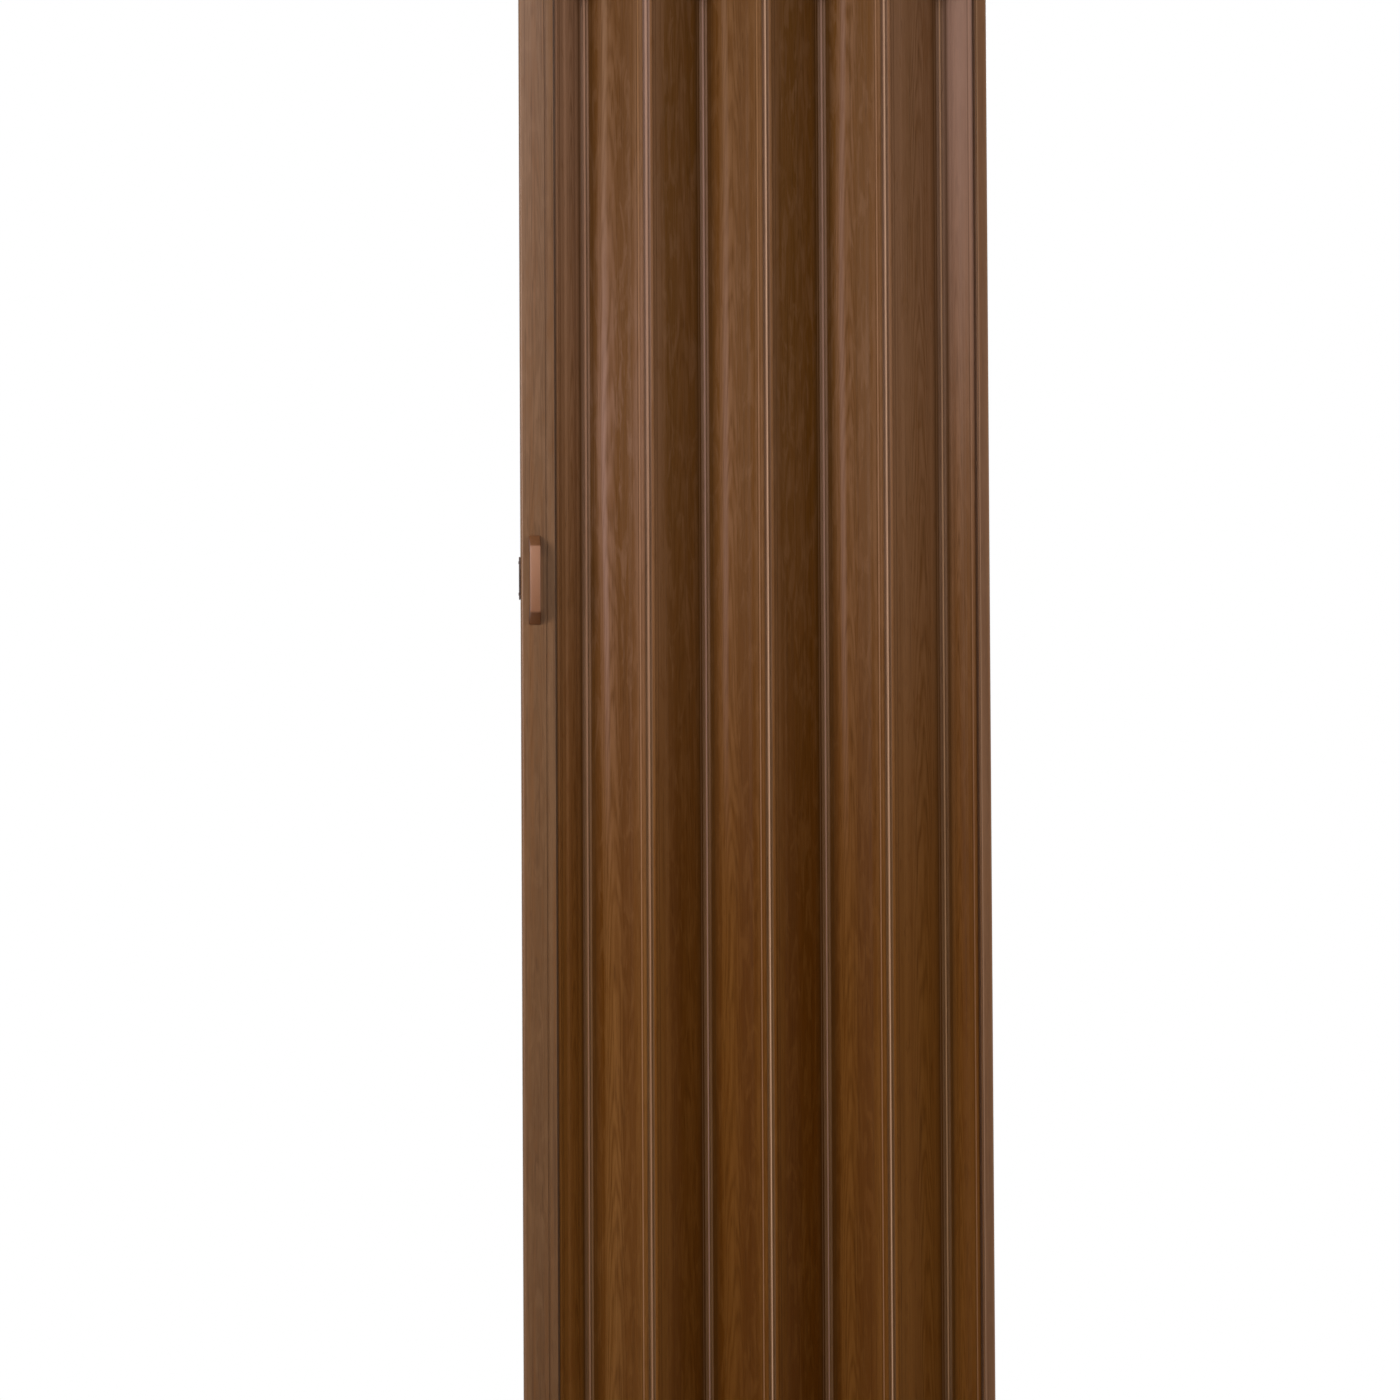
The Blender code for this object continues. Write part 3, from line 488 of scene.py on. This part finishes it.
def addPaintedLightAndShade(tree, base, across, side, height, settings, ridgeSide):
    look, reach = settings["look"], settings["reach"]
    highlightAt, highlightWidth = settings["highlightAt"], settings["highlightWidth"]

    def inReach(span):
        return [share * reach for share in span]

    # painted shade: darker towards the foot
    base = colourMix(tree, mapRange(tree, height, paintedLightAndShade["footHeight"], (1.0, 0.0)), base, look["foot"], "MULTIPLY")
    # the painted edge highlight runs along a slat's right edge, and along both edges of the others
    edge = side if settings["turn"] else mathNode(tree, "ABSOLUTE", side)
    highlightSpan = [share * highlightWidth for share in paintedLightAndShade["highlightSpan"]]
    edgeHighlight = mapRange(tree, awayFrom(tree, edge, highlightAt), highlightSpan, (look["highlightShare"], 0.0))
    base = colourMix(tree, edgeHighlight, base, look["edge"])
    # a painted glare, paler towards the head
    if settings["glare"]:
        glare = mapRange(tree, height, paintedLightAndShade["glareHeight"], (0.0, settings["glare"]))
        base = colourMix(tree, glare, base, paintedLightAndShade["glareColour"])
    if settings["turn"]:    # painted shade in the valley and in the groove beside each edge
        toRidge = mathNode(tree, "MULTIPLY", side, ridgeSide)
        valleyShade = mapRange(tree, toRidge, inReach(paintedLightAndShade["valleySpan"]), (paintedLightAndShade["valleyShadeShare"], 0.0))
        base = colourMix(tree, valleyShade, base, look["line"])
        fromGroove = awayFrom(tree, mathNode(tree, "ABSOLUTE", side), highlightAt - paintedLightAndShade["grooveAt"])
        grooveShade = mapRange(tree, fromGroove, paintedLightAndShade["grooveSpan"], (paintedLightAndShade["grooveShadeShare"], 0.0))
        base = colourMix(tree, grooveShade, base, look["line"])
    # a painted sheen streak beside the slat's middle, in the upper part
    if settings["sheen"]:
        fromSheen = awayFrom(tree, across, -paintedLightAndShade["sheenAt"] * reach)
        sheen = mapRange(tree, fromSheen, inReach(paintedLightAndShade["sheenSpan"]), (settings["sheen"], 0.0))
        upper = mapRange(tree, height, paintedLightAndShade["sheenHeight"])
        base = colourMix(tree, mathNode(tree, "MULTIPLY", sheen, upper), base, paintedLightAndShade["glareColour"])
    if settings["warmHead"]:
        head = mapRange(tree, height, paintedLightAndShade["headHeight"], (0.0, settings["warmHead"]))
        base = colourMix(tree, head, base, paintedLightAndShade["headColour"], "MULTIPLY")
    return base


def woodPrint(node, middle, settings):
    look = settings["look"]
    material, tree, shader, place = newMaterial("print_" + node)
    local, grain = printPlace(tree, place, middle, settings)
    side, _, height = separate(tree, local)
    noises = {name: noiseNode(tree, grain, *values) for name, values in grainNoise.items()}

    # broad bands along the upright that wander a little, partly print and partly painted light and shade
    ridgeSide = -1.0 if settings["turn"] > 0 else 1.0
    wanderReach = bandsOfTone["wanderReach"]
    across = mathNode(tree, "MULTIPLY_ADD", side, ridgeSide,
                      mathNode(tree, "MULTIPLY_ADD", noises["wander"], wanderReach, -wanderReach / 2))
    paleness = mathNode(tree, "ADD", bandValue(tree, across, settings["reach"], settings["bands"]),
                        mathNode(tree, "MULTIPLY_ADD", noises["tone"], bandsOfTone["toneShare"],
                                 settings["printAndLightLift"] - bandsOfTone["toneMiddle"]))
    base = colourMix(tree, mapRange(tree, paleness, bandsOfTone["paleness"]), look["deep"], look["pale"])

    figure, shade = archFigure(tree, noises, across, separate(tree, grain)[2], settings)
    base = addGrain(tree, base, noises, figure, shade, look)
    base = addPaintedLightAndShade(tree, base, across, side, height, settings, ridgeSide)
    tree.links.new(base, shader.inputs["Base Color"])

    spread = surfaceRelief["roughnessSpread"]
    rough = mathNode(tree, "MULTIPLY_ADD", noises["fibre"], spread, look["roughness"] - spread / 2)
    tree.links.new(rough, shader.inputs["Roughness"])
    shader.inputs["Specular IOR Level"].default_value = look["specular"]
    feed(tree, surfaceRelief["tint"], shader.inputs["Specular Tint"])
    normal = bumpNode(tree, noises["waviness"], surfaceRelief["waveStrength"], surfaceRelief["waveDepth"])
    relief = mathNode(tree, "MULTIPLY_ADD", figure, surfaceRelief["figureDepth"], noises["fibre"])
    normal = bumpNode(tree, relief, surfaceRelief["grainStrength"], surfaceRelief["grainDepth"], normal)
    tree.links.new(normal, shader.inputs["Normal"])
    return material


plastic = {
    "cloudNoise": ((55.0, 55.0, 40.0), 3.0, 0.55),
    "cloud": (0.32, 0.70),
    "speckDetail": (2.0, 0.6),
    "speck": (0.55, 0.80),
    "speckShare": 0.25,
    "roughnessSpread": 0.18,
    "bump": (0.35, 0.00003),
}
metal = {
    "drawnDetail": (2.0, 0.6),
    "cloudNoise": ((180.0, 180.0, 180.0), 3.0, 0.6),
    "cloud": (0.35, 0.70),
    "roughnessSpread": 0.20,
    "bump": (0.25, 0.00002),
}


def mouldedPlastic(settings):
    material, tree, shader, place = newMaterial(settings["name"])
    darker = settings["darker"]
    cloud = noiseNode(tree, place, *plastic["cloudNoise"])
    speck = noiseNode(tree, place, (settings["speckScale"],) * 3, *plastic["speckDetail"])
    base = colourMix(tree, mapRange(tree, cloud, plastic["cloud"]), darker, settings["colour"])
    # painted light and shade on the pull: a painted highlight on its crest, painted shade on its sides and towards
    # its lower end
    if "pullLightAndShade" in settings:
        x, y, z = separate(tree, place)
        pullLightAndShade = settings["pullLightAndShade"]
        middle = pullLightAndShade["middle"]
        crest = mapRange(tree, mathNode(tree, "ABSOLUTE", y), pullLightAndShade["crest"])
        base = colourMix(tree, crest, base, pullLightAndShade["paintedHighlight"])
        base = colourMix(tree, mapRange(tree, awayFrom(tree, x, middle.x), pullLightAndShade["sides"]), base, pullLightAndShade["paintedSideShade"])
        lower = mapRange(tree, mathNode(tree, "SUBTRACT", z, middle.z), pullLightAndShade["lowerEnd"], (1.0, 0.0))
        base = colourMix(tree, lower, base, pullLightAndShade["deeper"], "MULTIPLY")
    base = colourMix(tree, mapRange(tree, speck, plastic["speck"], (0.0, plastic["speckShare"])), base, darker)
    tree.links.new(base, shader.inputs["Base Color"])
    spread = plastic["roughnessSpread"]
    rough = mathNode(tree, "MULTIPLY_ADD", speck, spread, settings["roughness"] - spread / 2)
    tree.links.new(rough, shader.inputs["Roughness"])
    shader.inputs["Specular IOR Level"].default_value = settings["specular"]
    tree.links.new(bumpNode(tree, speck, *plastic["bump"]), shader.inputs["Normal"])
    return material


def metalFinish(settings):
    material, tree, shader, place = newMaterial(settings["name"])
    drawn = noiseNode(tree, place, settings["grainScale"], *metal["drawnDetail"])
    cloud = noiseNode(tree, place, *metal["cloudNoise"])
    base = colourMix(tree, mapRange(tree, cloud, metal["cloud"]), settings["colour"], settings["darker"])
    tree.links.new(base, shader.inputs["Base Color"])
    spread = metal["roughnessSpread"]
    rough = mathNode(tree, "MULTIPLY_ADD", drawn, spread, settings["roughness"] - spread / 2)
    tree.links.new(rough, shader.inputs["Roughness"])
    shader.inputs["Metallic"].default_value = 1.0
    tree.links.new(bumpNode(tree, drawn, *metal["bump"]), shader.inputs["Normal"])
    return material


def middleOf(nodeName):
    low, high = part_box(nodeName)
    return (low + high) / 2


plastics = {    # by slot
    "pull_plastic": {
        "name": "pullPlastic",
        "colour": srgb(116, 76, 45),
        "darker": srgb(104, 65, 37),
        "roughness": 0.42,
        "specular": 0.30,
        "speckScale": 1800.0,
        # painted light and shade: a painted highlight on the crest, painted shade on the sides and towards the lower
        # end
        "pullLightAndShade": {
            "middle": middleOf("front_handle"),
            "crest": (0.0300, 0.0328),      # from the door's middle
            "paintedHighlight": srgb(139, 98, 73),
            "sides": (0.0069, 0.0077),      # from the pull's middle, as the lower end
            "paintedSideShade": srgb(84, 50, 30),
            "lowerEnd": (-0.066, 0.050),
            "deeper": (0.62, 0.52, 0.38),
        },
    },
    "dark_trim": {
        "name": "darkTrim",
        "colour": srgb(66, 44, 34),
        "darker": srgb(52, 34, 26),
        "roughness": 0.42,
        "specular": 0.35,
        "speckScale": 1800.0,
    },
    "nylon": {
        "name": "nylon",
        "colour": srgb(232, 230, 222),
        "darker": srgb(214, 211, 200),
        "roughness": 0.50,
        "specular": 0.40,
        "speckScale": 1200.0,
    },
    "magnet": {
        "name": "ferrite",
        "colour": srgb(62, 62, 66),
        "darker": srgb(46, 46, 50),
        "roughness": 0.60,
        "specular": 0.30,
        "speckScale": 2600.0,
    },
}
metals = {
    "axle_steel": {
        "name": "axleSteel",
        "colour": srgb(196, 196, 198),
        "darker": srgb(170, 170, 174),
        "roughness": 0.28,
        "grainScale": (2200.0, 60.0, 2200.0),
    },
    "screw_zinc": {
        "name": "screwZinc",
        "colour": srgb(206, 207, 204),
        "darker": srgb(176, 178, 176),
        "roughness": 0.32,
        "grainScale": (900.0, 900.0, 900.0),
    },
}
finishes = {slotName: mouldedPlastic(settings) for slotName, settings in plastics.items()}
finishes.update({slotName: metalFinish(settings) for slotName, settings in metals.items()})
print("materials made")


def onlySelect(piece):
    bpy.ops.object.select_all(action="DESELECT")
    piece.select_set(True)
    bpy.context.view_layer.objects.active = piece


def smoothBy(degrees):
    bpy.ops.object.shade_smooth_by_angle(angle=math.radians(degrees))


merging = {
    "weldDistance": 0.000005,
    "flat": 0.2,        # degrees between faces that become one
    "smooth": 32.0,
}


def mergedCopy(nodeName, pieceName):
    piece = bpy.data.objects.new(pieceName, frame["nodes"][nodeName].data.copy())
    bpy.context.scene.collection.objects.link(piece)
    piece.data.materials.clear()
    onlySelect(piece)
    if piece.data.has_custom_normals:
        bpy.ops.mesh.customdata_custom_splitnormals_clear()
    bpy.ops.object.mode_set(mode="EDIT")
    bpy.ops.mesh.select_all(action="SELECT")
    bpy.ops.mesh.remove_doubles(threshold=merging["weldDistance"])
    bpy.ops.mesh.dissolve_limited(angle_limit=math.radians(merging["flat"]))
    bpy.ops.object.mode_set(mode="OBJECT")
    smoothBy(merging["smooth"])
    return piece


def applyModifiers(piece):
    onlySelect(piece)
    for modifier in list(piece.modifiers):
        bpy.ops.object.modifier_apply(modifier=modifier.name)


def softenEdges(piece, width, segments=2, angle=28.0, smooth=38.0):
    soften = piece.modifiers.new("soften", "BEVEL")
    soften.width = width
    soften.segments = segments
    soften.limit_method = "ANGLE"
    soften.angle_limit = math.radians(angle)
    applyModifiers(piece)
    smoothBy(smooth)


def cutAway(piece, cutter):
    trim = piece.modifiers.new("trim", "BOOLEAN")
    trim.operation = "DIFFERENCE"
    trim.solver = "EXACT"
    trim.object = cutter
    applyModifiers(piece)
    bpy.data.objects.remove(cutter, do_unlink=True)


def settle(piece, name):
    # the place goes into the mesh, so that the object itself sits at the origin
    onlySelect(piece)
    bpy.ops.object.transform_apply(location=True, rotation=True, scale=True)
    piece.name = name
    return piece


def block(name, middle, size):
    bpy.ops.object.select_all(action="DESELECT")
    bpy.ops.mesh.primitive_cube_add(size=1.0, location=middle)
    piece = bpy.context.object
    piece.scale = size
    return settle(piece, name)


def rod(name, middle, radius, length, along, sides=40, tipRadius=None):
    bpy.ops.object.select_all(action="DESELECT")
    turned = Vector(along).to_track_quat("Z", "Y").to_euler()
    bpy.ops.mesh.primitive_cone_add(vertices=sides, radius1=radius, depth=length, location=middle, rotation=turned,
                                    radius2=radius if tipRadius is None else tipRadius)
    return settle(bpy.context.object, name)


def pickFaces(piece, direction, least=0.95):
    # leaves edit mode on, with the faces selected that look along the direction
    onlySelect(piece)
    bpy.ops.object.mode_set(mode="EDIT")
    bpy.ops.mesh.select_all(action="DESELECT")
    bpy.ops.object.mode_set(mode="OBJECT")
    for face in piece.data.polygons:
        face.select = face.normal.dot(Vector(direction)) > least
    bpy.ops.object.mode_set(mode="EDIT")
    bpy.ops.mesh.select_mode(type="FACE")


bodyOf = {node: body for body, nodes in frame["record"]["behaviour"]["bodies"].items() for node in nodes}


def dress(piece, material, node):
    piece.data.materials.clear()
    piece.data.materials.append(material)
    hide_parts(node)
    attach(piece, bodyOf[node])


# turn: degrees about the upright; seed: the print's own place in the noise; reach: half its flat width;
# highlightAt: how far from the middle the rounded edge stands, where a highlight is painted along it;
# lift: how much paler this length is, partly print and partly painted light; glare: how strong the painted glare is
# at the head;
# warmHead: how much deeper and warmer it is there instead; sheen: how strong its painted sheen streak is
plainRun = {"turn": 0.0, "bands": plainBands, "printAndLightLift": 0.0, "glare": 0.0, "warmHead": 0.0, "sheen": 0.0}
oddSlat = {
    **plainRun,
    "look": slatPrint,
    "bands": oddPrintAndLight,
    "turn": -40.0,
    "reach": 0.0383,
    "highlightAt": 0.0417,
    "highlightWidth": 0.0009,
}
evenSlat = {**oddSlat, "bands": evenPrintAndLight, "turn": 40.0}
halfSlat = {**oddSlat, "bands": halfBands, "reach": 0.0170, "highlightAt": 0.0209}
slats = {
    "half_slat_jamb": {**halfSlat, "seed": 1.0, "printAndLightLift": 0.10, "glare": 0.46},
    "slat_6": {**evenSlat, "seed": 2.0, "printAndLightLift": 0.72, "glare": 0.04},
    "slat_5": {**oddSlat, "seed": 3.0, "printAndLightLift": -0.05, "sheen": 0.20},
    "slat_4": {**evenSlat, "seed": 4.0, "printAndLightLift": -0.16},
    "slat_3": {**oddSlat, "seed": 5.0, "printAndLightLift": -0.02, "warmHead": 0.9, "sheen": 0.20},
    "slat_2": {**evenSlat, "seed": 6.0, "printAndLightLift": 0.16},
    "slat_1": {**oddSlat, "look": mauveSheenPrint, "seed": 7.0, "printAndLightLift": 0.02, "warmHead": 1.0, "sheen": 0.30},
    "half_slat_lead": {**halfSlat, "turn": 40.0, "seed": 8.0, "printAndLightLift": 0.38, "glare": 0.12},
}
# strips, post, channel, insert and track share the paler print
profile = {**plainRun, "look": channelPrint, "reach": 0.0075, "highlightAt": 0.0060, "highlightWidth": 0.0008, "warmHead": 0.5}
paleRun = {
    "lead_post": {**plainRun, "look": postPrint, "seed": 31.0, "reach": 0.0245, "highlightAt": 0.0241,
                  "highlightWidth": 0.0012},
    "wall_channel": {**profile, "seed": 32.0, "softness": 0.0004},
    "jamb_insert": {**profile, "seed": 33.0, "softness": 0.0004},
    "top_track": {**plainRun, "look": palePrint, "seed": 34.0, "reach": 0.5, "highlightAt": 0.41, "highlightWidth": 0.0010,
                  "softness": 0.0004},
}
strip = {**plainRun, "reach": 0.0066, "highlightAt": 0.0}
ridgeWidth, valleyWidth = 0.0007, 0.0006    # of the painted highlight line; the even strips stand at the ridges
stripHighlights = {    # the colour of the painted highlight line along each strip
    1: srgb(150, 114, 92),
    2: srgb(158, 122, 96),
    3: srgb(154, 122, 112),
    4: srgb(194, 158, 130),
    5: srgb(150, 118, 106),
    6: srgb(190, 154, 126),
    7: srgb(168, 132, 98),
}
for number, edge in stripHighlights.items():
    paleRun[f"hinge_strip_{number}"] = {
        **strip,
        "look": {**stripPrint, "edge": edge},
        "seed": 20.0 + number,
        "highlightWidth": valleyWidth if number % 2 else ridgeWidth,
    }
# a painted glare at the head of this strip
paleRun["hinge_strip_2"]["glare"] = 0.40


def dressRun(run):
    for node, settings in run.items():
        piece = mergedCopy(node, node + "_skin")
        if "softness" in settings:
            softenEdges(piece, settings["softness"])
        dress(piece, woodPrint(node, middleOf(node), settings), node)


dressRun(slats)
print("slats dressed")
dressRun(paleRun)
print("strips, post, channel and track dressed")

pull = {
    "gripLength": 0.091,
    "gripWidth": 0.0150,
    "gripThickness": 0.008,
    "footLength": 0.015,
    "softness": 0.0017,
    "softSteps": 4,
    "softAngle": 20.0,
    "smooth": 45.0,
    "screwRoom": 0.0036,    # radius of the rear pull's counterbores
    "screwSeat": 0.003,
}


def makePull(node, side):
    # side: -1 for the pull on the front face of the post, +1 for the rear one
    low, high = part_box(node)
    middle, size = (low + high) / 2, high - low
    face, top = (high.y, low.y) if side < 0 else (low.y, high.y)
    piece = block(node + "_body", middle, size)
    pickFaces(piece, (0.0, side, 0.0))
    bpy.ops.transform.resize(value=(pull["gripWidth"] / size.x, 1.0, pull["gripLength"] / size.z),
                             center_override=(middle.x, top, middle.z))
    bpy.ops.object.mode_set(mode="OBJECT")

    slope = (size.z - pull["gripLength"]) / 2 / size.y
    innerReach = size.y - pull["gripThickness"]
    innerLength = size.z - 2 * pull["footLength"]
    deep = Vector((size.x * 2, innerReach * 2, innerLength + 2 * slope * innerReach))
    opening = block("opening", (middle.x, face, middle.z), deep)
    pickFaces(opening, (0.0, side, 0.0))
    farEnd = (innerLength - 2 * slope * innerReach) / deep.z
    bpy.ops.transform.resize(value=(1.0, 1.0, farEnd), center_override=(middle.x, face + side * innerReach, middle.z))
    bpy.ops.object.mode_set(mode="OBJECT")
    cutAway(piece, opening)
    softenEdges(piece, pull["softness"], pull["softSteps"], pull["softAngle"], pull["smooth"])
    if side > 0:
        for screw in ("handle_screw_upper", "handle_screw_lower"):
            start = Vector((middle.x, face + pull["screwSeat"] + size.y, middleOf(screw).z))
            cutAway(piece, rod("room", start, pull["screwRoom"], 2 * size.y, (0.0, 1.0, 0.0)))
        smoothBy(pull["smooth"])
    dress(piece, finishes["pull_plastic"], node)


makePull("front_handle", -1)
makePull("rear_handle", 1)
print("pulls made")

handleScrew = {
    "out": (0, 1, 0),
    "head": 0.0033,
    "headHeight": 0.0024,
    "shaft": 0.0017,
    "sunk": 0.0,        # how far the head is pressed into what it holds
    "finish": finishes["screw_zinc"],
}
catchScrew = {
    "out": (-1, 0, 0),
    "head": 0.0024,
    "headHeight": 0.0013,
    "shaft": 0.0013,
    "sunk": 0.0009,
    "finish": finishes["dark_trim"],
}
screwShape = {
    "crownRound": 0.55,     # in head heights
    "crownSteps": 5,
    "recessWide": 1.25,     # in head radii, as the next one
    "recessThin": 0.26,
    "recessDeep": 1.1,      # in head heights
    "shaftSides": 24,
    "tipRadius": 0.0002,
    "smooth": 32.0,
}


def makeScrew(node, settings):
    low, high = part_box(node)
    middle, out = (low + high) / 2, Vector(settings["out"])
    headHeight, sunk, tipLength = settings["headHeight"], settings["sunk"], settings["shaft"]
    length = abs((high - low).dot(out)) - sunk
    crown = middle + out * (length - sunk) / 2
    shaftLength = length - headHeight - tipLength
    head = rod(node + "_body", crown - out * headHeight / 2, settings["head"], headHeight, out)
    pickFaces(head, out)
    bpy.ops.mesh.bevel(offset=headHeight * screwShape["crownRound"], offset_type="OFFSET",
                       segments=screwShape["crownSteps"], affect="EDGES")
    bpy.ops.object.mode_set(mode="OBJECT")
    wide, thin = (settings["head"] * screwShape[key] for key in ("recessWide", "recessThin"))
    deep = headHeight * screwShape["recessDeep"]
    sideways = Vector((0, 0, 1))
    across = out.cross(sideways)
    for first, second in ((wide, thin), (thin, wide)):
        size = [abs(x) * deep + abs(y) * first + abs(z) * second for x, y, z in zip(out, sideways, across)]
        cutAway(head, block("recess", crown, size))
    sides = screwShape["shaftSides"]
    shaft = rod("shaft", crown - out * (headHeight + shaftLength / 2), settings["shaft"], shaftLength, out, sides)
    tip = rod("tip", crown - out * (length - tipLength / 2), screwShape["tipRadius"], tipLength, out, sides,
              settings["shaft"])
    onlySelect(head)
    shaft.select_set(True)
    tip.select_set(True)
    bpy.ops.object.join()
    smoothBy(screwShape["smooth"])
    dress(head, settings["finish"], node)


for end in ("upper", "lower"):
    makeScrew("handle_screw_" + end, handleScrew)
for end in ("upper", "lower"):
    makeScrew("catch_screw_" + end, catchScrew)
print("screws made")

softened = {
    "catch_plate": 0.0003,
    "catch_magnet": 0.0004,
    "foot_cap": 0.0006,
    "lead_plug": 0.0003,
    "lead_carriage": 0.0005,
    "hanger_plug_2": 0.0003,
    "hanger_plug_4": 0.0003,
    "hanger_plug_6": 0.0003,
    "carriage_2": 0.0004,
    "carriage_4": 0.0004,
    "carriage_6": 0.0004,
}
for part in frame["record"]["subparts"]:
    node, slotName = part["node"], part["material_slot"]
    if node in softened:
        piece = mergedCopy(node, node + "_body")
        softenEdges(piece, softened[node])
        dress(piece, finishes[slotName], node)
    elif slotName in finishes:
        piece = frame["nodes"][node]
        piece.data.materials.clear()
        piece.data.materials.append(finishes[slotName])
print("remaining nodes have their finishes")
